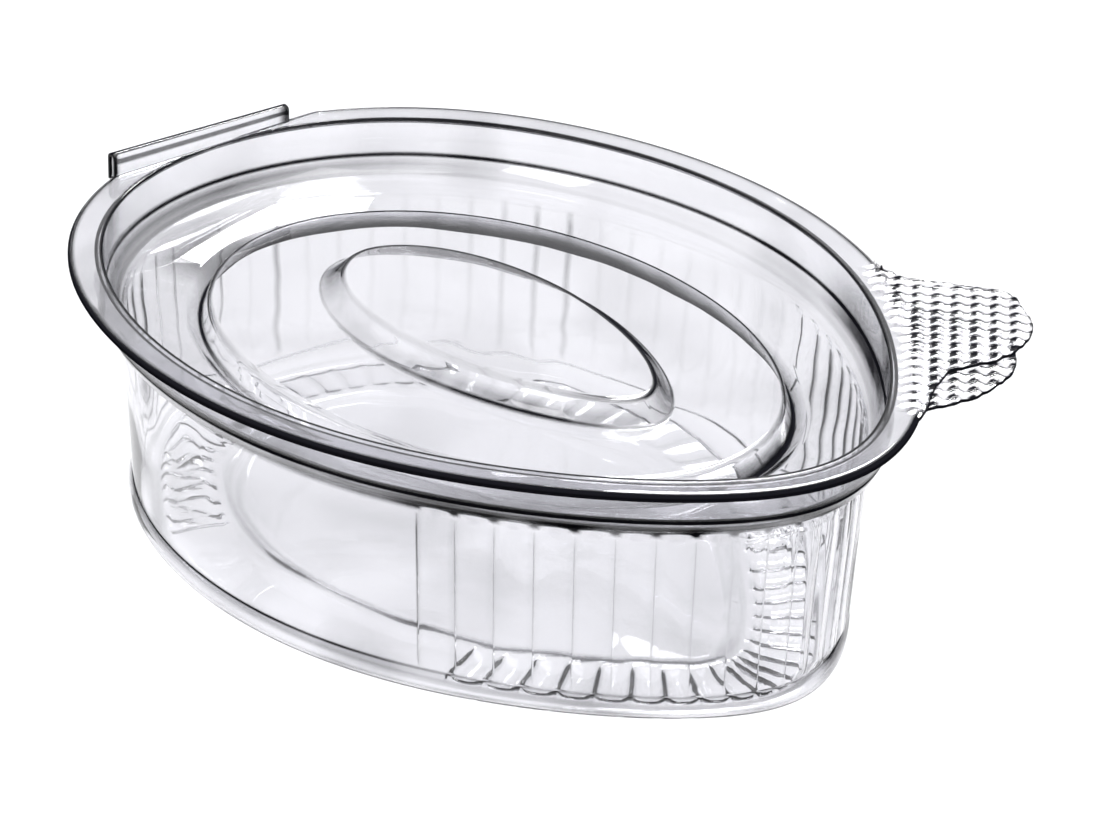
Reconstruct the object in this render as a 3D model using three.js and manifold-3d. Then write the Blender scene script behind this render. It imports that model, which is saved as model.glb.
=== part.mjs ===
// A small clear plastic sauce pot, egg-shaped in plan, with a lid on a folded strip at its wide end.
// Millimetres, +Z up, the origin under the middle of the pot on the surface that it stands on. The wide end with the
// hinge is at -X, the narrow end at +X, and the two grip tabs point to +X and +Y.
// Both halves are pressed from thin sheet, so each one is a single closed skin with a rim, a wall and a flat.
import * as THREE from "three";
import { mergeVertices } from "three/addons/utils/BufferGeometryUtils.js";
import Module from "manifold-3d";

const sheet = 0.35; // thickness of both skins
const height = 28; // from the table to the top of the lid's rim
const halfLength = 50;
const halfWidth = 37.1;
const narrowing = 5.5; // how much the half width grows to the hinge end and shrinks to the tab end
const shoulder = 0.85; // fills out the narrow end and draws in the wide one
const fullness = 0.35; // widens the outline at its sides and narrows it towards its ends
const corners = 0.33; // draws in the outline between its ends and its sides
const fluteCount = 64;
const samples = fluteCount * 3;

const clear = new THREE.MeshStandardMaterial({
  color: 0xf2f4f8,
  roughness: 0.05,
  metalness: 0,
  transparent: true,
  opacity: 0.35,
  side: THREE.DoubleSide,
});

const wasm = await Module();
wasm.setup();

// The rim's outline at an angle: a stretched circle whose half width changes along the length.
function rim(angle) {
  const c = Math.cos(angle);
  const width =
    halfWidth - narrowing * c - shoulder * Math.cos(3 * angle) - fullness * Math.cos(2 * angle);
  return new THREE.Vector2(halfLength * c, width * Math.sin(angle));
}

function rimNormal(angle) {
  const step = 0.002;
  const along = rim(angle + step).sub(rim(angle - step)).normalize();
  return new THREE.Vector2(along.y, -along.x);
}

function outline(angle, inset) {
  const out = rimNormal(angle);
  return rim(angle).addScaledVector(out, corners * Math.cos(4 * angle) - inset);
}

// Angles that cut the rim into pieces of one length, so that the flutes have one pitch.
function evenAngles(count) {
  const fine = 4000;
  const lengths = [0];
  for (let i = 1; i <= fine; i++) {
    const a = ((i - 1) / fine) * 2 * Math.PI;
    const b = (i / fine) * 2 * Math.PI;
    lengths.push(lengths[i - 1] + outline(a, 0).distanceTo(outline(b, 0)));
  }
  const angles = [];
  let k = 0;
  for (let j = 0; j < count; j++) {
    const wanted = (j / count) * lengths[fine];
    while (lengths[k + 1] < wanted) k++;
    const part = (wanted - lengths[k]) / (lengths[k + 1] - lengths[k]);
    angles.push(((k + part) / fine) * 2 * Math.PI);
  }
  return angles;
}

// A ring of the skin that runs parallel to the rim.
function parallelRing(angles, inset, z) {
  return angles.map((angle) => {
    const p = outline(angle, inset);
    return new THREE.Vector3(p.x, p.y, z);
  });
}

// A ring of the skin that is an oval of its own, blunter or more pointed than an ellipse.
function ovalRing(angles, { middle, long, wide, taper, power }, z) {
  return angles.map((angle) => {
    const c = Math.cos(angle);
    const s = Math.sin(angle);
    const x = long * Math.sign(c) * Math.abs(c) ** (2 / power);
    const y = Math.sign(s) * Math.abs(s) ** (2 / power) * (wide - taper * c);
    return new THREE.Vector3(middle + x, y, z);
  });
}

// The closed skin of sheet under a set of rings that run from the rim to the middle. Each ring is moved along the
// skin's normal, further at a sharp bend, so that the sheet keeps its thickness.
function skin(rings, middle) {
  const n = rings[0].length;
  const all = [...rings, rings[0].map(() => middle)];
  const faceNormal = (i, j) => {
    const across = all[i + 1][j].clone().sub(all[i][j]);
    const along = all[i][(j + 1) % n].clone().sub(all[i][(j + n - 1) % n]);
    return along.cross(across).normalize();
  };
  const under = rings.map((ring, i) =>
    ring.map((p, j) => {
      const below = faceNormal(i, j);
      const above = i > 0 ? faceNormal(i - 1, j) : below;
      const sum = below.clone().add(above);
      return p.clone().addScaledVector(sum, -sheet / (1 + below.dot(above)));
    }),
  );
  const points = [...rings.flat(), middle];
  const top = (i, j) => i * n + (j % n);
  const faces = [];
  for (let i = 0; i < rings.length - 1; i++)
    for (let j = 0; j < n; j++)
      faces.push(top(i, j), top(i, j + 1), top(i + 1, j + 1), top(i, j), top(i + 1, j + 1), top(i + 1, j));
  const last = rings.length - 1;
  for (let j = 0; j < n; j++) faces.push(top(last, j), top(last, j + 1), points.length - 1);
  const half = points.length;
  points.push(...under.flat(), middle.clone().setZ(middle.z - sheet));
  const upper = faces.length;
  for (let f = 0; f < upper; f += 3) faces.push(faces[f] + half, faces[f + 2] + half, faces[f + 1] + half);
  for (let j = 0; j < n; j++) {
    const a = top(0, j);
    const b = top(0, j + 1);
    faces.push(a, a + half, b + half, a, b + half, b);
  }
  const geometry = new THREE.BufferGeometry();
  geometry.setAttribute("position", new THREE.Float32BufferAttribute(points.flatMap((p) => [p.x, p.y, p.z]), 3));
  geometry.setIndex(faces);
  return geometry;
}

function solid(geometry) {
  const bare = new THREE.BufferGeometry();
  const flat = geometry.index ? geometry.toNonIndexed() : geometry;
  bare.setAttribute("position", flat.getAttribute("position"));
  const merged = mergeVertices(bare, 1e-4);
  return new wasm.Manifold(
    new wasm.Mesh({
      numProp: 3,
      vertProperties: merged.attributes.position.array,
      triVerts: new Uint32Array(merged.index.array),
    }),
  );
}

function meshOf(name, body) {
  const data = body.getMesh();
  const geometry = new THREE.BufferGeometry();
  geometry.setAttribute("position", new THREE.Float32BufferAttribute(data.vertProperties, 3));
  geometry.setIndex([...data.triVerts]);
  geometry.computeVertexNormals();
  const mesh = new THREE.Mesh(geometry, clear);
  mesh.name = name;
  return mesh;
}

// A flat plate of sheet with a smooth outline through the points, its top face at z.
function plate(points, z) {
  const curve = new THREE.CatmullRomCurve3(points.map(([x, y]) => new THREE.Vector3(x, y, 0)), true);
  const shape = new THREE.Shape(curve.getPoints(60).slice(0, -1).map((p) => new THREE.Vector2(p.x, p.y)));
  const geometry = new THREE.ExtrudeGeometry(shape, { depth: sheet, bevelEnabled: false });
  geometry.translate(0, 0, z - sheet);
  return solid(geometry);
}

function box(x0, x1, y0, y1, z0, z1) {
  const geometry = new THREE.BoxGeometry(x1 - x0, y1 - y0, z1 - z0);
  geometry.translate((x0 + x1) / 2, (y0 + y1) / 2, (z0 + z1) / 2);
  return solid(geometry);
}

// A block that fills the mouth above the ledge, to keep the tabs out of it.
function mouthBlock(angles, top, inset) {
  const depth = 8;
  const shape = new THREE.Shape(angles.map((angle) => outline(angle, inset)));
  const geometry = new THREE.ExtrudeGeometry(shape, { depth, bevelEnabled: false });
  geometry.translate(0, 0, top - depth);
  return solid(geometry);
}

// The folded strip of the hinge stands on the rim at the wide end. The lid turns about the fold at its top.
const foldX = -47.3;
const foldZ = height + 2.05;
const foldRadius = 0.55;
const stripFrom = -13.7;
const stripTo = 9.3;

// The pot: a rim, a collar that holds the lid, a ledge, a fluted wall, a rounded foot and a ribbed floor with a flat
// middle. One stretch of the near wall, for a label, has no flutes and no ribs.
const potRim = height - sheet - 0.3;
const plainFrom = 0.6;
const plainTo = 0.845;
const footBack = 0.6;
const ribClear = 0.06; // keeps the ribbed edge of the floor just off the table
const potAngles = evenAngles(samples);
const fluted = potAngles.map((_, j) => {
  const around = j / samples;
  return around < plainFrom || around > plainTo ? 1 : 0;
});
const bulge = potAngles.map((_, j) => (j % 3 === 0 ? 0 : 1) * fluted[j]);

// A ring of the wall, further towards the hinge the lower it is, with flutes that stand out by depth.
function wallRing(inset, z, depth) {
  const back = (footBack * (height - z)) / height;
  return potAngles.map((angle, j) => {
    const p = outline(angle, inset - depth * bulge[j]);
    return new THREE.Vector3(p.x - back, p.y, z);
  });
}

// A ring of the floor, raised by rib where the grooves between the flutes run on as ribs.
function floorRing(inset, z, rib) {
  return wallRing(inset, z, 0).map((p, j) => p.setZ(z + rib * (fluted[j] - bulge[j])));
}

const potSkin = skin(
  [
    parallelRing(potAngles, 0, potRim),
    parallelRing(potAngles, 2.85, potRim),
    parallelRing(potAngles, 3.15, potRim - 0.35),
    parallelRing(potAngles, 3.1, height - 4.4),
    wallRing(4.25, height - 6.2, 0),
    wallRing(4.6, height - 7.4, 0.35),
    wallRing(5.45, 2.4, 0.35),
    floorRing(6.1, 1, 0),
    floorRing(7.4, sheet + ribClear, 0),
    floorRing(9, sheet + ribClear, 0.8),
    floorRing(14.5, sheet + ribClear, 0.8),
    floorRing(16.2, sheet, 0),
  ],
  new THREE.Vector3(-footBack, 0, sheet),
);
const potTab = plate(
  [
    [24, 25.5],
    [27, 30.4],
    [31.5, 32],
    [35.7, 32.4],
    [39.3, 31.8],
    [42.4, 29.4],
    [44.4, 26.4],
    [45.4, 23.4],
    [45.4, 20.4],
    [44.8, 17.6],
    [44.5, 15],
    [41, 14],
    [34, 19.5],
  ],
  potRim,
);
const potStrip = box(foldX - 0.6, foldX - 0.25, stripFrom, stripTo, potRim - sheet, foldZ - foldRadius - 0.35);
const beyondPot = box(-60, foldX - 0.6, -40, 40, 20, 40);
const pot = solid(potSkin).add(potTab.subtract(mouthBlock(potAngles, potRim + 2, 3))).subtract(beyondPot).add(potStrip);

// The lid: a rim, a plug wall that drops into the collar, a sloping gutter, and two raised ovals, one on the other.
const lidAngles = evenAngles(samples / 2);
const outerFoot = { middle: -2, long: 36.1, wide: 24.9, taper: 0.3, power: 2 };
const outerTop = { middle: -1.8, long: 34.6, wide: 24.0, taper: 0.6, power: 2 };
const innerFoot = { middle: -1.6, long: 24.3, wide: 11.5, taper: 1.2, power: 1.8 };
const innerTop = { middle: -0.9, long: 21.6, wide: 9.7, taper: 1.4, power: 1.9 };
const lidSkin = skin(
  [
    parallelRing(lidAngles, 0, height),
    parallelRing(lidAngles, 3.5, height),
    parallelRing(lidAngles, 3.85, height - 0.35),
    parallelRing(lidAngles, 3.75, height - 3.9),
    parallelRing(lidAngles, 4.95, height - 5.65),
    ovalRing(lidAngles, outerFoot, height - 7.2),
    ovalRing(lidAngles, outerTop, height - 5.7),
    ovalRing(lidAngles, innerFoot, height - 5.7),
    ovalRing(lidAngles, innerTop, height - 3.4),
  ],
  new THREE.Vector3(-0.9, 0, height - 3.4),
);
const lidTab = plate(
  [
    [18, 28],
    [20.5, 32.9],
    [24, 34.5],
    [27.3, 36.7],
    [31, 38.6],
    [35.2, 37.9],
    [38.3, 35.6],
    [40.5, 32.4],
    [41.6, 29],
    [41.2, 25.6],
    [40.7, 22.8],
    [41.7, 19.6],
    [43.4, 16.8],
    [39, 15],
    [30, 21],
  ],
  height,
);
const lidStrip = box(foldX + 0.3, foldX + 0.65, stripFrom, stripTo, height - sheet, foldZ);
const fold = new THREE.CylinderGeometry(foldRadius, foldRadius, stripTo - stripFrom, 12);
fold.translate(0, (stripTo + stripFrom) / 2, 0);
fold.translate(foldX, 0, foldZ);
const beyondLid = box(-60, foldX + 0.05, -40, 40, 20, 40);
const lid = solid(lidSkin)
  .add(lidTab.subtract(mouthBlock(lidAngles, height + 2, 3.3)))
  .subtract(beyondLid)
  .add(lidStrip)
  .add(solid(fold));

const container = new THREE.Group();
container.name = "sauce_container";
container.add(meshOf("tub", pot));
container.add(meshOf("lid", lid));
export default container;
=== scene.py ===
"""A small clear plastic sauce pot with its lid pressed shut, on a pale floor.

The pot and the lid are one pressing of thin clear sheet, folded over at a strip that stays as the hinge.
Each half is made here as one closed skin: rings that run round it, rounded where the sheet bends, and given
the sheet's thickness.
"""

import bpy
import numpy as np
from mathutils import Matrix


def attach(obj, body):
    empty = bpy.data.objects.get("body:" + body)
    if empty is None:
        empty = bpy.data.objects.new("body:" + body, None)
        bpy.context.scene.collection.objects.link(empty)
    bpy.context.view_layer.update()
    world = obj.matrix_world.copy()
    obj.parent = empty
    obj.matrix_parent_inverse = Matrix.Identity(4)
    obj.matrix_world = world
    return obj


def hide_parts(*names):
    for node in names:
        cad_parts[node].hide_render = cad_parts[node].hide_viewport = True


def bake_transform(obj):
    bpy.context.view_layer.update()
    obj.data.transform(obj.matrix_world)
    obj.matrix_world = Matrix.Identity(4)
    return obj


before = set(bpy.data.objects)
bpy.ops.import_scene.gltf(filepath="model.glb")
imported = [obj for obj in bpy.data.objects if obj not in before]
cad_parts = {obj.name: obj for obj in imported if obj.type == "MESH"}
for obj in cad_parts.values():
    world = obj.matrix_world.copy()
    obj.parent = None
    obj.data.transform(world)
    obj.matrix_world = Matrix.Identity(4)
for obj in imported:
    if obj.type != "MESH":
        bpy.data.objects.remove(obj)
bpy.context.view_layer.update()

mm = 0.001

# ---- Camera ----
# A long lens looks down at the pot from the corner between its narrow end and its plain side, so that the
# hinge is at the far left and the tabs are at the right.
azimuth, elevation, roll = np.radians((48.82, 26.875, 0.904))
distance = 535.4
to_right, to_top = -4.333, 11.934  # how far the rim's middle is right of the picture's middle, and above it
aim_height = 28.0
picture_width = 1100  # pixels
focal_pixels = 5373
sensor_width = 36.0

level = np.array((np.cos(azimuth), np.sin(azimuth), 0.0))
towards = np.array((np.sin(azimuth), -np.cos(azimuth), 0.0))
away = np.cos(elevation) * towards + (0, 0, np.sin(elevation))
upright = np.cross(away, level)
right = np.cos(roll) * level + np.sin(roll) * upright
up = np.cos(roll) * upright - np.sin(roll) * level
eye = distance * away - to_right * right - to_top * up + (0, 0, aim_height)

lens = bpy.data.cameras.new("camera")
lens.sensor_fit = "HORIZONTAL"
lens.sensor_width = sensor_width
lens.lens = focal_pixels / picture_width * sensor_width
lens.clip_start = 0.01
lens.clip_end = 20
camera = bpy.data.objects.new("camera", lens)
turned = np.eye(4)
turned[:3, :3] = np.column_stack((right, up, away))
turned[:3, 3] = eye * mm
camera.matrix_world = turned.T
bpy.context.scene.collection.objects.link(camera)
bpy.context.scene.camera = camera


# ---- Floor and light ----
# A white table under a wide soft light, with a window that mirrors in the lid. The room beyond is darker, so
# that the edges of the clear sheet show.
class Wire:
    """A socket of a material or a world. A sum of wires adds a Math node, and node() adds any other node."""

    def __init__(self, tree, socket=None):
        self.tree = tree
        self.socket = socket

    def node(self, kind, sockets=None, output=0, **settings):
        """A new node with its settings and its sockets, as a wire from one of its outputs."""
        made = self.tree.nodes.new(kind)
        for name, value in settings.items():
            setattr(made, name, value)
        for name, value in (sockets or {}).items():
            self.feed(made.inputs[name], value)
        return Wire(self.tree, made.outputs[output]) if made.outputs else made

    def feed(self, socket, value):
        if isinstance(value, Wire):
            self.tree.links.new(value.socket, socket)
        else:
            socket.default_value = value

    def math(self, operation, *values):
        return self.node("ShaderNodeMath", dict(enumerate(values)), operation=operation)

    def __add__(self, other):
        return self.math("ADD", self, other)

    def __radd__(self, other):
        return self.math("ADD", other, self)

    def between(self, low, high):
        """0 below low, 1 above high, and smooth between them."""
        sockets = {"Value": self, "From Min": low, "From Max": high}
        return self.node("ShaderNodeMapRange", sockets, interpolation_type="SMOOTHSTEP")

    def mixed(self, first, second):
        """A colour that goes from the first to the second as the wire goes from 0 to 1."""
        sockets = {"Factor": self, 6: first, 7: second}
        return self.node("ShaderNodeMix", sockets, output=2, data_type="RGBA")


def new_tree(owner):
    """The emptied node tree of a material or a world, as a wire that adds nodes to it."""
    owner.use_nodes = True
    owner.node_tree.nodes.clear()
    return Wire(owner.node_tree)


room = bpy.data.worlds.new("room")
bpy.context.scene.world = room
tree = new_tree(room)
direction = tree.node("ShaderNodeTexCoord")
upward = tree.node("ShaderNodeSeparateXYZ", {"Vector": direction}, output=2)
wall_colour = (0.16, 0.16, 0.18, 1)
ceiling_colour = (0.6, 0.6, 0.62, 1)
colour = upward.between(0.0, 0.55).mixed(wall_colour, ceiling_colour)
glow = tree.node("ShaderNodeBackground", {"Color": colour, "Strength": 1.0})
tree.node("ShaderNodeOutputWorld", {"Surface": glow})

half_floor = 3000 * mm
floor_corners = [(half_floor * x, half_floor * y, 0) for x, y in ((-1, -1), (1, -1), (1, 1), (-1, 1))]
floor_mesh = bpy.data.meshes.new("floor")
floor_mesh.from_pydata(floor_corners, [], [(0, 1, 2, 3)])
floor = bpy.data.objects.new("floor", floor_mesh)
bpy.context.scene.collection.objects.link(floor)
white = bpy.data.materials.new("white_table")
tree = new_tree(white)
matt = tree.node("ShaderNodeBsdfPrincipled", {"Base Color": (0.93, 0.93, 0.935, 1), "Roughness": 0.7})
tree.node("ShaderNodeOutputMaterial", {"Surface": matt})
floor_mesh.materials.append(white)


lit_point = (0, 0, 20)


def soft_light(name, bearing, height, far, wide, tall, power):
    """A rectangular lamp that faces the lit point from a bearing and a height in degrees."""
    lamp = bpy.data.lights.new(name, "AREA")
    lamp.shape = "RECTANGLE"
    lamp.size = wide * mm
    lamp.size_y = tall * mm
    lamp.energy = power
    bearing, height = np.radians((bearing, height))
    back = np.array((np.cos(bearing) * np.cos(height), np.sin(bearing) * np.cos(height), np.sin(height)))
    side = np.array((-np.sin(bearing), np.cos(bearing), 0.0))
    pose = np.eye(4)
    pose[:3, :3] = np.column_stack((side, np.cross(back, side), back))
    pose[:3, 3] = (back * far + lit_point) * mm
    made = bpy.data.objects.new(name, lamp)
    made.matrix_world = pose.T
    bpy.context.scene.collection.objects.link(made)


soft_light("window", bearing=130.3, height=42.5, far=900, wide=185, tall=330, power=3.2)
soft_light("front", bearing=-94, height=41, far=900, wide=260, tall=260, power=0.8)
soft_light("overhead", bearing=30, height=74, far=1100, wide=900, tall=900, power=6.0)

# The table throws no light back, and a ray may pass every skin of the pot and the lid.
light_paths = bpy.context.scene.cycles
light_paths.diffuse_bounces = 0
light_paths.glossy_bounces = 5
light_paths.transmission_bounces = 14
light_paths.max_bounces = 14
light_paths.transparent_max_bounces = 24
light_paths.caustics_reflective = False
light_paths.caustics_refractive = False

bpy.context.scene.view_settings.view_transform = "Standard"

# ---- Tub ----
# The pot is pressed from clear sheet: a flat rim with a grip tab, a collar that holds the lid, a ledge, a
# wall of upright flutes with one plain stretch for a label, a rounded foot, and a floor with short ribs
# round a flat middle.
half_length = 50.0
half_width = 37.1
narrowing = 5.5  # how much the half width grows to the hinge end and shrinks to the tab end
shoulder = 0.85  # fills out the narrow end and draws in the wide one
fullness = 0.35  # widens the outline at its sides and narrows it towards its ends
corners_in = 0.33  # draws in the outline between its ends and its sides
sheet = 0.35
rim_top = 28.0
rim_gap = 0.06  # between the lid's rim and the pot's
pot_rim = rim_top - sheet - rim_gap
flute_count = 64
far_flutes = (13, 30)
plain_flutes = (39, 52)
fold_x = -47.3


def rim(angle):
    """The rim's outline: a stretched circle, wider towards the hinge by a sum of cosines of the angle."""
    width = (
        half_width
        - narrowing * np.cos(angle)
        - shoulder * np.cos(3 * angle)
        - fullness * np.cos(2 * angle)
    )
    return np.stack((half_length * np.cos(angle), width * np.sin(angle)), -1)


def rim_normal(angle):
    """The outline's normal: its direction of travel, from two points close by, turned by a right angle."""
    step = 0.002
    along = rim(angle + step) - rim(angle - step)
    along /= np.linalg.norm(along, axis=-1, keepdims=True)
    return np.stack((along[..., 1], -along[..., 0]), -1)


def outline(angle, inset):
    """The rim's outline moved inwards along its normal, with its four corners drawn in a little."""
    return rim(angle) + rim_normal(angle) * (corners_in * np.cos(4 * angle) - inset)[..., None]


def angle_at(around):
    """The angle at a share of the way round the rim, from the running sum of the outline's short chords."""
    chords = 8000
    angles = np.linspace(0, 2 * np.pi, chords + 1)
    places = outline(angles, np.zeros_like(angles))
    run = np.append(0, np.cumsum(np.linalg.norm(np.diff(places, axis=0), axis=1)))
    return np.interp(around * run[-1], run, angles)


def shares(steps, steps_beyond, at_tab, tab_from, tab_to):
    """Shares of the way round the rim: some steps for each flute, fewer for one on the far side or on the
    plain stretch, and finer ones where the tab is."""
    flutes = np.arange(flute_count)
    beyond = np.zeros(flute_count, bool)
    for first, last in (far_flutes, plain_flutes):
        beyond |= (flutes >= first) & (flutes <= last)
    near_steps = flutes[~beyond][:, None] + steps
    far_steps = flutes[beyond][:, None] + steps_beyond
    coarse = np.append(near_steps, far_steps) / flute_count
    fine = np.arange(flute_count * at_tab) / (flute_count * at_tab)
    fine = fine[(fine >= tab_from) & (fine <= tab_to)]
    apart = 1e-6
    beside_tab = (coarse < tab_from - apart) | (coarse > tab_to + apart)
    return np.sort(np.append(coarse[beside_tab], fine))


def smooth(x):
    """0 below 0, 1 above 1, and a smooth step between them."""
    x = np.clip(x, 0, 1)
    return x * x * (3 - 2 * x)


def through(x, knots, values):
    """A smooth curve through knots: cubic pieces whose slope at a knot is that of its two neighbours."""
    knots, values = np.array(knots, float), np.array(values, float)
    slope = np.gradient(values, knots)
    k = np.clip(np.searchsorted(knots, x) - 1, 0, len(knots) - 2)
    gap = knots[k + 1] - knots[k]
    t = np.clip((x - knots[k]) / gap, 0, 1)
    start, end = values[k], values[k + 1]
    rise = slope[k] * t * (1 - t) ** 2 - slope[k + 1] * t**2 * (1 - t)
    return start + (end - start) * t * t * (3 - 2 * t) + rise * gap


def ring(x, y, z, inset):
    """One ring of the skin: a row of x, y, z, the inset from the rim, and how dark its bend is painted, as
    painted shade, 0 for now.
    """
    z, inset = np.broadcast_to(z, x.shape), np.broadcast_to(inset, x.shape)
    return np.stack((x, y, z, inset, np.zeros_like(x)), -1)


uncut = -60.0  # well beyond the hinge end


def parallel(inset, z, cut=uncut, back=0.0):
    """A ring at an inset from the rim, drawn in where it would pass a straight cut across the hinge end."""
    at_rim = outline(columns, np.zeros_like(columns))[:, 0]
    inward = -rim_normal(columns)[:, 0]
    least_slope, never = 0.05, -20.0
    short = np.where(at_rim < cut, (cut - at_rim) / np.maximum(inward, least_slope), never)
    flat = outline(columns, np.maximum(inset, short))
    return ring(flat[:, 0] - back, flat[:, 1], z, inset)


def rounded(corners):
    """Rings through corner rings. Each corner has a length that is cut off it, the number of steps of the
    parabola that replaces it, and how dark its bend is painted, as painted shade: the parabola starts and
    ends that length before and after the corner, aims at it, and is painted darkest halfway."""
    rings = []
    ends = [corners[0], *corners, corners[-1]]
    for (before, _, _, _), (corner, cut, steps, dark), (after, _, _, _) in zip(ends, ends[1:], ends[2:]):
        if steps == 0:
            bend = corner[None].copy()
            bend[..., 4] = dark
        else:
            t = (np.arange(steps + 1) / steps)[:, None, None]
            leave, arrive = before - corner, after - corner
            leave *= np.minimum(cut / np.linalg.norm(leave[:, :3], axis=1), 0.5)[:, None]
            arrive *= np.minimum(cut / np.linalg.norm(arrive[:, :3], axis=1), 0.5)[:, None]
            bend = corner + leave * (1 - t) ** 2 + arrive * t**2
            bend[..., 4] = dark * 4 * (t * (1 - t))[..., 0]
        rings.append(bend)
    return np.concatenate(rings)


def grid_normals(rings):
    """The upward normals of rings of points: the cross product of the steps along a ring and from ring to
    ring. Where rings coincide, as they do on the flat rim beside the tab, the normal is straight up."""
    along = np.roll(rings, -1, axis=1) - np.roll(rings, 1, axis=1)
    across = np.gradient(rings, axis=0)
    normal = np.cross(along, across)
    size = np.linalg.norm(normal, axis=-1, keepdims=True)
    return np.where(size > 1e-9, normal / np.maximum(size, 1e-9), (0, 0, 1))


def skin(name, rings, relief, shade, middle, lean):
    """A closed mesh of sheet from rings that run from the rim's edge to the middle. The upper face is the
    rings moved along their normals by the relief, and the lower face is the upper one moved by the
    sheet's thickness. The two are joined by a half round at the edge and closed by a fan at the middle.
    Rings that coincide become one."""
    place = rings[..., :3]
    upper = place + grid_normals(place) * relief[..., None]
    lower = upper - grid_normals(upper) * sheet
    lower[0] = upper[0] - (0, 0, sheet)
    outward = upper[0] - upper[2]
    still = np.linalg.norm(outward, axis=1) < 1e-6
    outward[still] = np.append(rim_normal(columns), np.zeros((len(columns), 1)), 1)[still]
    outward[:, 2] = 0
    outward /= np.linalg.norm(outward, axis=1, keepdims=True)
    turn = np.radians((36, 72, 108, 144))[:, None, None]
    edge = upper[0] - (0, 0, sheet / 2) + sheet / 2 * (outward * np.sin(turn) + np.cos(turn) * (0, 0, 1))
    loop = np.concatenate((upper[::-1], edge, lower))
    # The half round at the cut edge is painted fully dark: painted shade.
    dark = np.concatenate((shade[::-1], np.ones(edge.shape[:2]), shade)).ravel()
    dark = np.append(dark, (0, 0))
    count, width = loop.shape[:2]
    points = np.concatenate((loop.reshape(-1, 3), [middle, np.subtract(middle, (0, 0, sheet))]))
    finest = 1e-4
    keys = np.round(points / finest).astype(np.int64)
    _, first, same = np.unique(keys, axis=0, return_index=True, return_inverse=True)
    same = same.ravel()
    index = np.arange(count * width).reshape(count, width)
    a, b = index[:-1], index[1:]
    quads = same[np.stack((a, b, np.roll(b, -1, 1), np.roll(a, -1, 1)), -1).reshape(-1, 4)]
    kept = quads != np.roll(quads, 1, axis=1)
    whole = kept.sum(1) > 2
    faces = [tuple(q[k]) for q, k in zip(quads[whole], kept[whole])]
    hub = np.full(width, count * width)
    for fan in ((hub, index[0], np.roll(index[0], -1)), (hub + 1, np.roll(index[-1], -1), index[-1])):
        faces += [tuple(f) for f in same[np.stack(fan, -1)]]
    return sheet_object(name, points[first], faces, dark[first], lean)


def area_normals(mesh, count):
    """A normal for each point: the sum of its faces' normals times their areas, so that flat stretches
    mirror as flat ones right up to a bend."""
    of_face = np.empty(len(mesh.polygons) * 3)
    area = np.empty(len(mesh.polygons))
    corners = np.empty(len(mesh.polygons), int)
    point = np.empty(len(mesh.loops), int)
    mesh.polygons.foreach_get("normal", of_face)
    mesh.polygons.foreach_get("area", area)
    mesh.polygons.foreach_get("loop_total", corners)
    mesh.loops.foreach_get("vertex_index", point)
    weighted = np.repeat(of_face.reshape(-1, 3) * area[:, None], corners, axis=0)
    total = np.stack([np.bincount(point, weighted[:, k], count) for k in range(3)], -1)
    return total / np.maximum(np.linalg.norm(total, axis=1, keepdims=True), 1e-12)


luck = np.random.default_rng(5)


def drift(points, size, waves=24):
    """A value for each point that wanders slowly about 0, mostly between -1 and 1: plane waves in random
    directions, each about the size long, added up."""
    ways = luck.normal(0, 1, (3, waves))
    ways *= 2 * np.pi / size * luck.uniform(0.6, 1.4, waves) / np.linalg.norm(ways, axis=0)
    return np.cos(points @ ways + luck.uniform(0, 2 * np.pi, waves)).sum(-1) / np.sqrt(waves)


def sheet_object(name, points, faces, dark, lean):
    """A smooth mesh object from points in millimetres, with its painted shade, how dark each point is, as an
    attribute. The sheet has the faint clouds and slow waves of stretched plastic: a little more dark, and
    normals that lean a little."""
    cloud_size, cloud_dark = 16.0, 0.12
    wave_size = 10.0
    mesh = bpy.data.meshes.new(name)
    mesh.from_pydata(points * mm, [], faces)
    mesh.polygons.foreach_set("use_smooth", np.ones(len(mesh.polygons), bool))
    dark = np.clip(dark + cloud_dark * smooth(drift(points, cloud_size) * 0.7), 0, 1)
    mesh.attributes.new("shade", "FLOAT", "POINT").data.foreach_set("value", dark.astype(np.float32))
    mesh.update()
    normals = area_normals(mesh, len(points))
    normals += lean * np.stack([drift(points, wave_size) for _ in range(3)], -1)
    mesh.normals_split_custom_set_from_vertices(normals / np.linalg.norm(normals, axis=1, keepdims=True))
    made = bpy.data.objects.new(name, mesh)
    bpy.context.scene.collection.objects.link(made)
    return made


grip_pitch = 1.95
row_pitch = 1.84
grip_depth = 0.1
grip_wave = 1.1  # how far the rows wave to and fro, in radians of their pitch
swell_at = -0.8  # where in each pitch a ridge is highest, in radians


def grip(x, y):
    """The grip's height, -1 to 1: rows of ridges along the tab's axis that wave and swell once a pitch."""
    along = 2 * np.pi * (x + y) / np.sqrt(2) / grip_pitch
    across = 2 * np.pi * (x - y) / np.sqrt(2) / row_pitch
    return np.cos(across + grip_wave * np.cos(along)) * (0.78 + 0.22 * np.cos(along - swell_at))


def dash_shade(height, x, y):
    """The grip's painted shade: dark where a ridge is higher than a level that is lowest where it swells, so
    that each ridge shows as a row of short painted dashes."""
    along = 2 * np.pi * (x + y) / np.sqrt(2) / grip_pitch
    return smooth((height - 0.46 + 0.34 * np.cos(along - swell_at)) / 0.36)


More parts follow.
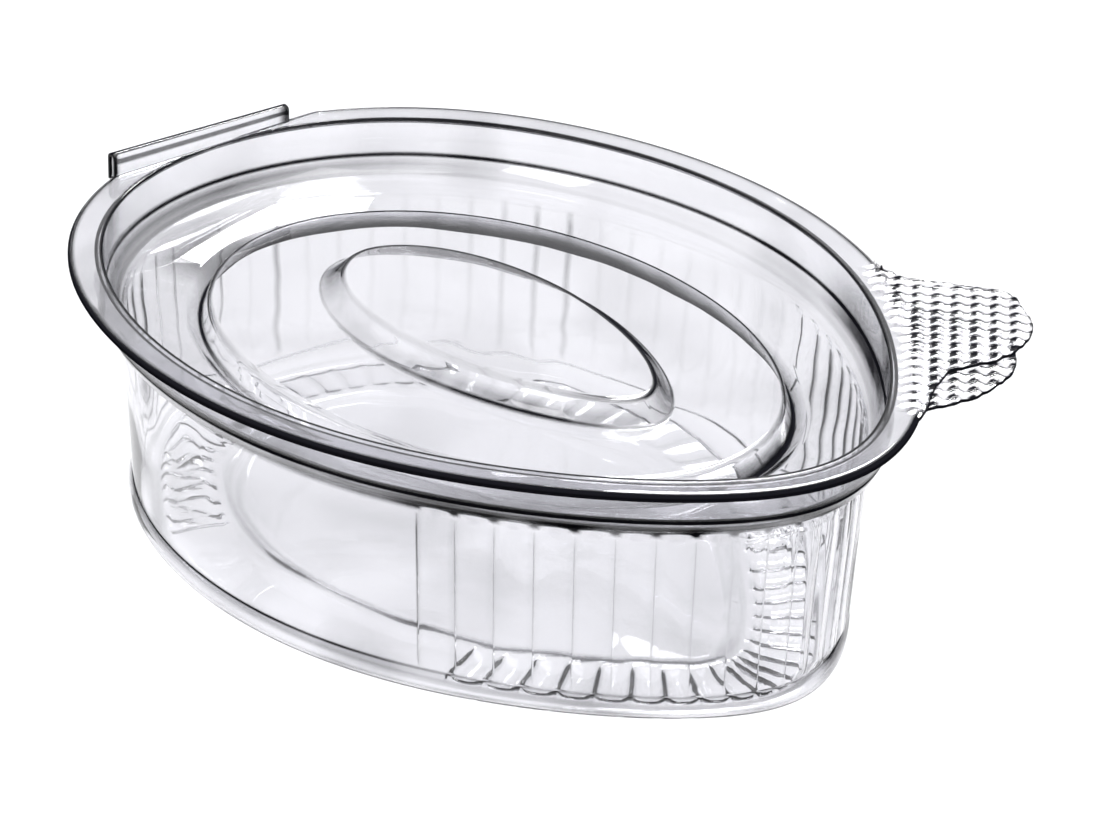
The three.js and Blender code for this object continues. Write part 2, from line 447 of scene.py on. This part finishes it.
def clear_plastic():
    """Clear pressed sheet: glass-like, greyer where it is seen edge on, and with painted shade from the shade
    attribute: painted dark where it bends sharply and at its cut edges, in place of the light that is led
    away inside the sheet there, and in painted bands and dashes. The darkest painted lines are matt, so that
    nothing mirrors in them. Light on its way to a lamp, or coming off the table, passes straight through."""
    made = bpy.data.materials.new("clear_sheet")
    tree = new_tree(made)
    shade = tree.node("ShaderNodeAttribute", output=2, attribute_name="shade")
    facing = tree.node("ShaderNodeLayerWeight", {"Blend": 0.25}, output=1)
    face_on = (0.92, 0.92, 0.936, 1)
    edge_on = (0.68, 0.68, 0.73, 1)
    tint_and_shade = shade.mixed(facing.between(0.3, 1.0).mixed(face_on, edge_on), (0.002, 0.002, 0.004, 1))
    sheet_shader = tree.node(
        "ShaderNodeBsdfPrincipled",
        {"Base Color": tint_and_shade, "Roughness": 0.015, "IOR": 1.5, "Transmission Weight": 1.0},
    )
    # The matt near-black of the darkest painted shade lines.
    line = tree.node("ShaderNodeBsdfDiffuse", {"Color": (0.012, 0.012, 0.016, 1)})
    lined = tree.node("ShaderNodeMixShader", {0: shade.between(0.72, 1.0), 1: sheet_shader, 2: line})
    to_lamp = tree.node("ShaderNodeLightPath", output=1)
    off_table = tree.node("ShaderNodeLightPath", output=2)
    passed = tree.node("ShaderNodeBsdfTransparent", {"Color": (0.993, 0.993, 0.995, 1)})
    mixed = tree.node("ShaderNodeMixShader", {0: to_lamp + off_table, 1: lined, 2: passed})
    tree.node("ShaderNodeOutputMaterial", {"Surface": mixed})
    return made


clear = clear_plastic()


def finished(piece, body):
    """Gives a piece its material and, where it is the whole of one body, its place on that body."""
    piece.data.materials.append(clear)
    if body:
        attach(piece, body)
        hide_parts(body)


def round_it(*values):
    """A value for every column, straight between values at even shares of the way round. They start at the
    narrow end and go by the tabs, the far side, the hinge and the near side."""
    return np.interp(around, np.arange(len(values)) / len(values), values, period=1)


def band(value, low, high, soft):
    """1 between low and high, and 0 outside, with soft ends."""
    return smooth((value - low) / soft) * smooth((high - value) / soft)


def patchy(low, high, patches):
    """A value for every column that wanders between low and high."""
    return round_it(*luck.uniform(low, high, patches))


def by_bend(inset, *bends):
    """How dark each bend is painted, as painted shade: each row has the inset up to which it holds, and its
    values for round_it.
    """
    strength = np.zeros(inset.shape)
    for upto, values in reversed(bends):
        strength = np.where(inset <= upto, round_it(*values), strength)
    return strength


# The steps within a flute are closest together at its groove and at its crease.
fluting = np.array((0, 0.04, 0.15, 0.3, 0.45, 0.5, 0.55, 0.7, 0.85, 0.96))
coarse_fluting = np.array((0, 0.2, 0.35, 0.5, 0.65, 0.8))
around = shares(fluting, coarse_fluting, at_tab=20, tab_from=3.5 / flute_count, tab_to=0.15)
columns = angle_at(around)

# How far the tab reaches beyond the rim, at shares of the way round.
tab_rings = 40
reach = through(
    around,
    (0.0, 0.058, 0.0654, 0.0727, 0.0808, 0.0881, 0.0971, 0.1040, 0.1103, 0.1215, 0.133, 0.1434, 0.15, 1.0),
    (0, 0, 2.4, 4.95, 6.75, 8.14, 8.94, 9.07, 9.02, 7.33, 3.6, 0.1, 0, 0),
)
reach = np.maximum(reach, 0) * ((around > 0.057) & (around < 0.148))

edge = sheet / 2
foot_back = 0.6  # how far the foot sits back towards the hinge
pot_cut = fold_x - 0.6
rib = 0.85
flute_depth = 0.42
floor_top = sheet + 0.02


def pot(inset, z, cut=0.0, steps=0, dark=0.0):
    """A corner ring of the pot: those on the rim stop at the hinge, and lower ones sit back towards it."""
    if z == pot_rim:
        return parallel(inset, z, cut=pot_cut), cut, steps, dark
    return parallel(inset, z, back=foot_back * (rim_top - z) / rim_top), cut, steps, dark


rim_steps = (0.8, 1.25, 1.75, 2.3)
floor_steps = (10.5, 12.0, 13.2, 13.9, 14.5, 15.0)
rings = rounded(
    [pot(edge - reach * k / tab_rings, pot_rim) for k in range(tab_rings, 0, -1)]
    + [
        # rim
        pot(edge, pot_rim, dark=1.0),
        pot(0.34, pot_rim, dark=1.0),
        pot(0.5, pot_rim, dark=0.7),
        *(pot(inset, pot_rim) for inset in rim_steps),
        pot(3.05, pot_rim, 0.3, 4, 1.0),
        # collar and ledge
        pot(3.1, 23.7, 0.3, 4, 1.0),
        pot(3.6, 22.6, 0.3, 2),
        pot(4.6, 22.0),
        pot(5.55, 21.5, 0.3, 3),
        # wall
        pot(5.7, 20.9),
        pot(5.75, 20.4),
        pot(5.78, 19.9),
        pot(5.8, 18.5),
        pot(6.1, 14.0),
        pot(6.4, 9.0),
        pot(6.65, 4.0),
        # foot, with a bead at its top
        pot(6.75, 2.5, 0.3, 3, 1.0),
        pot(6.3, 1.9, 0.3, 2),
        pot(6.35, floor_top, 1.0, 5),
        # floor
        pot(8.2, floor_top, 0.5, 3, 1.0),
        pot(9.0, floor_top + rib, 0.4, 2),
        *(pot(inset, floor_top + rib) for inset in floor_steps),
        pot(16.4, floor_top + rib, 0.9, 3, 0.4),
        pot(17.8, floor_top, 0.9, 3, 0.3),
        pot(18.6, floor_top),
    ]
)
middle = np.array((-foot_back, 0, floor_top))
hub = np.append(middle, (30.0, 0.0))  # its inset counts as 30, and it isn't dark
rings = np.concatenate((rings, np.stack([rings[-1] * (1 - t) + hub * t for t in (0.35, 0.7)])))
x, y, z, inset, line = np.moveaxis(rings, -1, 0)

below_collar = inset > 3.5
on_floor = z < 2.0
flute = around * flute_count
plain_wall = (flute > 38.5) & (flute < 53.5)
plain_floor = (flute > 42.5) & (flute < 54.0)


def lobe(off_line, roundness=2.2):
    """The height of a lobe between two lines a flute apart: 0 on a line, and 1 and level halfway."""
    return 1 - (1 - 2 * off_line) ** roundness


# The flutes are lobes between upright creases, which end in small arches under the ledge. The ribs are lobes
# too, and they wander at the hinge end.
from_crease = np.abs((flute % 1.0) - 0.5)
fullest = round_it(1, 1, 0.8, 0.4, 0.25, 0.2, 0.2, 0.2, 0.2, 0.25, 0.5, 1, 1, 1, 1, 1)
wall_lobe = np.where(plain_wall, 0.25, lobe(from_crease)) * fullest
arch = np.where(plain_wall, 0.0, 0.8 * (1 - 2 * from_crease) ** 2)
on_wall = smooth((21.0 - arch - z) / 0.6) * below_collar * smooth((z - 2.6) / 1.2)

wander = 0.3 * np.sin(1.7 * inset + 0.9 * flute) * band(around, 0.55, 0.68, 0.03)
from_groove = 0.5 - np.abs(((flute + wander) % 1.0) - 0.5)
rib_lobe = np.where(plain_floor, 0.4, lobe(from_groove)) * round_it(1, 0.6, 0.2, 0.3, 0.4, 0.8, 1, 1)
on_ribs = smooth((inset - 8.3) / 1.0) * smooth((14.9 - inset) / 0.9) * on_floor


def grip_share(upto):
    """How far the grip has set in: full on the tab, up to a share of the way round, and less on the rim."""
    return band(around, 0.05, upto, 0.01) * smooth((2.6 - inset) / 1.6)


gripped = grip_share(0.165)
relief = grip_depth * grip(x, y) * gripped - flute_depth * on_wall * wall_lobe - rib * on_ribs * rib_lobe

# Painted shade along the creases: how dark the creases are painted, for each stretch between two of them
# from the narrow end on, and how wide.
crease_strength = np.full(flute_count + 1, 0.07)
crease_strength[2:13] = (0.3, 0.6, 1.0, 1.0, 1.0, 0.7, 1.0, 1.0, 1.0, 1.0, 0.4)
crease_strength[22:26] = (0.5, 0.4, 0.25, 0.12)
crease_strength[31:39] = (0.6, 0.0, 0.85, 0.0, 0.8, 0.0, 1.0, 1.0)
crease_strength[39:64] = (1.0, *np.zeros(14), 1.0, 0.6, 0.5, 0.45, 0.4, 0.35, 0.3, 0.25, 0.15, 0.1)
crease_width = (
    0.035
    + 0.08 * band(around, 0.02, 0.19, 0.02)
    + 0.1 * band(around, 0.55, 0.62, 0.02)
    + 0.12 * band(around, 0.045, 0.12, 0.02)
)
crease = np.exp(-((from_crease / crease_width) ** 2)) * crease_strength[np.floor(flute + 0.5).astype(int)]
crease_fade = 0.55 + 0.45 * smooth((z - 5.0) / 9.0)
# Painted shade along the ribs' grooves as well.
groove_width = 0.05
groove_strength = round_it(0.7, 0.5, 0.1, 0.0, 0.1, 0.0, 0.0, 0.8) * ~plain_floor
groove = np.exp(-((from_groove / groove_width) ** 2)) * groove_strength

# Painted shade: the parts of the pot that are painted dark without a bend, bands of height, each on its own
# stretch of rings.
at_foot = (inset > 6.0) & (inset < 6.9)
ledge = band(z, 20.5 + 0.5 * wall_lobe, 23.2, 0.3) * (inset > 3.12)
collar = band(z, 23.2, 25.9, 0.5) * ((inset > 3.0) & (inset < 3.4))
foot = band(z, 1.7, 2.9, 0.3) * at_foot
under = band(z, 0.3, 1.1, 0.3) * ((inset > 6.0) & (inset < 7.4))
dark_corner = band(z, 0.3, 3.6, 0.8) * at_foot * band(around, 0.015, 0.075, 0.02)
wall = smooth((21.0 - z) / 2.0) * below_collar * smooth((z - 3.0) / 2.0)
flat = smooth((inset - 8.6) / 2.0) * on_floor
# The pot's painted dashes sit a little beside its tab's ridges, so that they line up with the lid's dashes
# above them as the camera sees them.
dash_x, dash_y = x + 0.61, y - 0.53  # the dashes lie a little beside this tab's ridges

# Painted shade at the rim's cut edge and beside it, for the pot and the lid.
cut_edge = (0.3, (1.0, 1.0, 0.7, 0.5, 0.8, 1.0, 1.0, 1.0))
beside_edge = (1.0, (1.0, 0.8, 0.3, 0.2, 0.3, 0.6, 1.0, 1.0))
# How dark the pot's bends are painted: painted shade.
bends = by_bend(
    inset,
    cut_edge,
    beside_edge,
    (3.075, (0.2, 0.6, 0.5, 0.5, 0.8, 0.8, 0.2, 0.0)),  # rim to collar
    (3.4, (0.95, 0.3, 0.2, 0.3, 0.4, 0.7, 1.0, 1.0)),  # collar to ledge
    (6.9, (0.3, 0.4, 0.1, 0.1, 0.1, 0.9, 0.7, 0.3)),  # foot
    (8.6, (0.5, 0.5, 0.1, 0.1, 0.1, 0.1, 0.1, 0.5)),  # ends of the ribs
    (30.0, (0.15, 0.2, 0.1, 0.1, 0.1, 0.4, 0.5, 0.3)),  # round the flat
)
# The shade attribute is painted shade: bends, creases, grooves, dark bands and the grip's dashes.
shade = (
    line * bends * (1 - gripped)
    + crease * on_wall * crease_fade
    + groove * on_ribs
    + ledge * round_it(0.95, 0.1, 0.0, 0.0, 0.0, 0.4, 0.75, 0.9) * patchy(0.75, 1.0, 90)
    + collar * round_it(0.35, 0.1, 0.0, 0.0, 0.1, 0.3, 0.3, 0.35) * patchy(0.3, 1.0, 60)
    + foot * round_it(0.25, 0.2, 0.0, 0.0, 0.1, 0.75, 0.5, 0.25) * patchy(0.6, 1.0, 50)
    + under * round_it(0.5, 0.4, 0.0, 0.0, 0.1, 0.6, 0.4, 0.6) * patchy(0.4, 1.0, 50)
    + dark_corner * 0.6
    + wall * round_it(0.06, 0.05, 0.0, 0.0, 0.0, 0.0, 0.0, 0.05)
    + flat * round_it(0.1, 0.08, 0.03, 0.0, 0.03, 0.16, 0.04, 0.06)
    + dash_shade(grip(dash_x, dash_y), dash_x, dash_y) * gripped
)
tub = skin("clear_tub", rings, relief, shade, middle, lean=0.009)
finished(tub, "tub")

# ---- Lid ----
# The lid is pressed from the same sheet: a flat rim with a larger grip tab, a plug that drops into the pot's
# collar, a sloping gutter, a raised oval, and a smaller pointed oval raised on it.
even_steps = np.arange(6) / 6
around = shares(even_steps, even_steps, at_tab=20, tab_from=3 / flute_count, tab_to=0.18)
columns = angle_at(around)

tab_rings = 55
shares_of_tab = (
    *(0.0, 0.045, 0.0584, 0.0709, 0.0798, 0.0889, 0.0918, 0.0961, 0.1019),
    *(0.106, 0.121, 0.1306, 0.1455, 0.1526, 0.1607, 0.1695, 0.18, 1.0),
)
reach_there = (
    *(0, 0, 0.49, 0.72, 1.45, 2.99, 4.37, 6.72, 8.72),
    *(9.71, 11.55, 11.36, 9.99, 6.42, 2.11, 0.6, 0, 0),
)
reach = through(around, shares_of_tab, reach_there)
reach = np.maximum(reach, 0) * ((around > 0.05) & (around < 0.178))

lid_cut = fold_x + 0.05
lip = 0.22 * np.exp(-reach / 0.4)  # how far the rim's edge is turned down beside the tab


def top(inset, z, cut=0.0, steps=0, dark=0.0):
    """A corner ring of the lid, parallel to the rim. Those on the rim stop at the hinge."""
    on_rim = np.max(z) > 27
    return parallel(inset, z, cut=lid_cut if on_rim else uncut), cut, steps, dark


def oval(inset, middle, long, wide, taper, power, z, cut=0.0, steps=0, dark=0.0):
    """A corner ring of its own: an ellipse, blunt or pointed by its power, and narrower towards the tabs."""
    c, s = np.cos(columns), np.sin(columns)
    x = middle + long * np.sign(c) * np.abs(c) ** (2 / power)
    y = np.sign(s) * np.abs(s) ** (2 / power) * (wide - taper * c)
    return ring(x, y, z, inset), cut, steps, dark


gutter_top = top(4.95, 22.3, 0.4, 3, 1.0)
gutter_foot = oval(13.5, -2.0, 37.0, 25.7, 0.3, 2.0, 20.65)
gutter_mid = (0.45 * gutter_top[0] + 0.55 * gutter_foot[0], 0, 0, 0)
gutter_low = (0.08 * gutter_top[0] + 0.92 * gutter_foot[0], 0, 0, 0)
soft = round_it(0.6, 0.35, 0.3, 0.3, 0.3, 0.5, 1.1, 1.1)
rings = rounded(
    [top(edge - reach * k / tab_rings, rim_top - lip) for k in range(tab_rings, 0, -1)]
    + [
        # rim
        top(edge, rim_top - lip, dark=1.0),
        top(0.34, rim_top - lip * 0.4, dark=1.0),
        top(0.5, rim_top - lip * 0.1, dark=0.7),
        *(top(inset, rim_top) for inset in rim_steps),
        top(3.55, rim_top, 0.3, 4, 1.0),
        # plug and gutter
        top(3.75, 23.9, 0.3, 4, 1.0),
        top(4.3, 23.1),
        gutter_top,
        gutter_mid,
        gutter_low,
        gutter_foot,
        # outer oval
        oval(15, -2.0, 35.8, 24.6, 0.3, 2.0, 19.6, soft, 3, 1.0),
        oval(16, -1.9, 35.2, 24.3, 0.45, 2.0, 20.9),
        oval(17, -1.8, 34.6, 24.0, 0.6, 2.0, 22.2, soft, 3, 1.0),
        # inner oval
        oval(24, -1.6, 24.3, 12.1 + 0.6 * np.sin(columns), 1.2, 1.8, 22.2, 0.5 * soft, 3, 1.0),
        oval(24.7, -1.35, 23.3, 11.3 + 0.4 * np.sin(columns), 1.27, 1.83, 23.0),
        oval(25.3, -1.1, 22.5, 10.5 + 0.2 * np.sin(columns), 1.33, 1.86, 23.8),
        oval(26, -0.9, 21.6, 9.7, 1.4, 1.9, 24.6, soft, 3, 1.0),
        oval(28, -0.9, 14, 6.5, 1.0, 2.0, 24.6),
    ]
)
x, y, z, inset, line = np.moveaxis(rings, -1, 0)
gripped = grip_share(0.18)
knurl = grip(x, y) * gripped
# How dark the lid's bends are painted: painted shade.
bends = by_bend(
    inset,
    cut_edge,
    beside_edge,
    (3.66, (0.7, 1.0, 0.95, 1.0, 1.0, 1.0, 0.4, 0.1)),  # rim to plug
    (4.2, (0.3, 1.0, 0.95, 0.9, 1.0, 0.9, 0.1, 0.0)),  # foot of the plug
    (6.0, (0.0, 0.3, 0.15, 0.2, 0.8, 0.5, 0.0, 0.0)),  # gutter's top
    (15.5, (0.9, 1.0, 1.0, 1.0, 1.0, 0.6, 0.1, 0.1)),  # outer oval's foot
    (17.5, (0.3, 0.9, 0.5, 0.5, 0.8, 0.4, 0.1, 0.1)),  # outer oval's top
    (24.6, (0.4, 1.0, 1.0, 1.0, 0.9, 0.3, 0.6, 0.7)),  # inner oval's foot
    (26.6, (0.8, 1.0, 1.0, 1.0, 0.95, 0.2, 0.2, 0.3)),  # inner oval's top
)

# Painted shade: the parts of the lid that are painted dark without a bend.
plug_foot = band(inset, 3.8, 4.9, 0.3)
gutter = band(inset, 5.3, 14.9, 0.3)
gutter_at_hinge = band(inset, 8.0, 14.5, 0.5) * band(around, 0.5, 0.59, 0.03)
outer_foot = band(inset, 14.5, 15.5, 0.2)
outer_slope = band(inset, 15.0, 16.3, 0.4)
inner_slope = band(inset, 24.0, 26.0, 0.2)
inner_foot = band(inset, 23.9, 24.9, 0.2)
plug_by_tab = band(inset, 3.5, 4.5, 0.3) * band(around, 0.07, 0.2, 0.04)
shade = (
    line * bends * (1 - gripped)
    + plug_foot * round_it(0, 0.3, 0.1, 0.15, 0.8, 0.45, 0, 0)
    + gutter * round_it(0.0, 0.05, 0.0, 0.05, 0.22, 0.1, 0.0, 0.0)
    + gutter_at_hinge * 0.4
    + outer_foot * round_it(0.3, 0.6, 0.6, 0.7, 0.8, 0.5, 0.0, 0.0)
    + outer_slope * round_it(0.7, 0.95, 0.95, 0.9, 0.8, 0.2, 0.0, 0.0) * patchy(0.7, 1.0, 80)
    + inner_slope * round_it(0.2, 1.0, 0.95, 0.8, 0.7, 0.1, 0.0, 0.0)
    + inner_foot * round_it(0.1, 0, 0, 0, 0, 0, 0.3, 0.6) * patchy(0.6, 1.0, 120)
    + plug_by_tab * 0.75
    + dash_shade(knurl, x, y) * gripped
)
lid = skin("clear_lid", rings, grip_depth * knurl, shade, (-0.9, 0, 24.6), lean=0.004)
finished(lid, "lid")

# ---- Hinge strip ----
# The strip of sheet between the two rims, folded over in a narrow loop that stands up at the wide end.
strip_from, strip_to = -13.7, 9.3
leg = 0.45  # from the fold's axis to the middle of the sheet of either leg
fold_z = 29.97
strip_drop = 0.6  # how much lower the fold is at the strip's far end


def strip(count=30, leg_steps=8, fold_steps=14):
    """A sheet bent into an upside-down U: a row of points up one leg, over a half circle and down the
    other, half the sheet's thickness to either side, carried along the fold."""
    up = np.arange(leg_steps) / leg_steps
    turn = np.linspace(np.pi, 0, fold_steps + 1)
    outward = np.concatenate((np.full(leg_steps, np.pi), turn, np.zeros(leg_steps)))
    normal = np.stack((np.cos(outward), np.sin(outward)), -1)
    pot_leg = pot_rim + (fold_z - pot_rim) * up
    lid_leg = rim_top + (fold_z - rim_top) * up
    rise = np.concatenate((pot_leg, fold_z + leg * np.sin(turn), lid_leg[::-1]))
    spine = np.stack((fold_x + leg * np.cos(outward), rise), -1)
    section = np.concatenate((spine + normal * sheet / 2, (spine - normal * sheet / 2)[::-1]))
    along = np.linspace(0, 1, count)
    n = len(section)
    places = strip_from + (strip_to - strip_from) * along
    points = np.concatenate([np.insert(section, 1, place, axis=1) for place in places])
    points[:, 2] -= strip_drop * np.repeat(along, n) * (points[:, 2] - pot_rim) / (fold_z - pot_rim)
    k = np.arange(n)
    a = np.arange(count - 1)[:, None] * n
    sides = np.stack((a + k, a + (k + 1) % n, a + n + (k + 1) % n, a + n + k), -1).reshape(-1, 4)
    half = np.arange(n // 2 - 1)
    start = np.stack((half, n - 1 - half, n - 2 - half, half + 1), -1)
    end = start[:, ::-1] + (count - 1) * n
    # Painted shade: the cut ends are painted dark, and so are the fold's top and its join to the lid's leg,
    # on the outer face.
    top_of_fold = leg_steps + fold_steps // 2
    end_of_fold = leg_steps + fold_steps
    dark = np.zeros((count, n))
    dark[[0, -1]] = 0.9
    dark[:, top_of_fold - 2 : top_of_fold + 2] = 1.0
    dark[:, end_of_fold : end_of_fold + 3] = 0.85
    return points, [tuple(f) for f in np.concatenate((sides, start, end))], dark.ravel()


hinge = sheet_object("hinge_strip", *strip(), lean=0.004)
finished(hinge, None)
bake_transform(hinge)
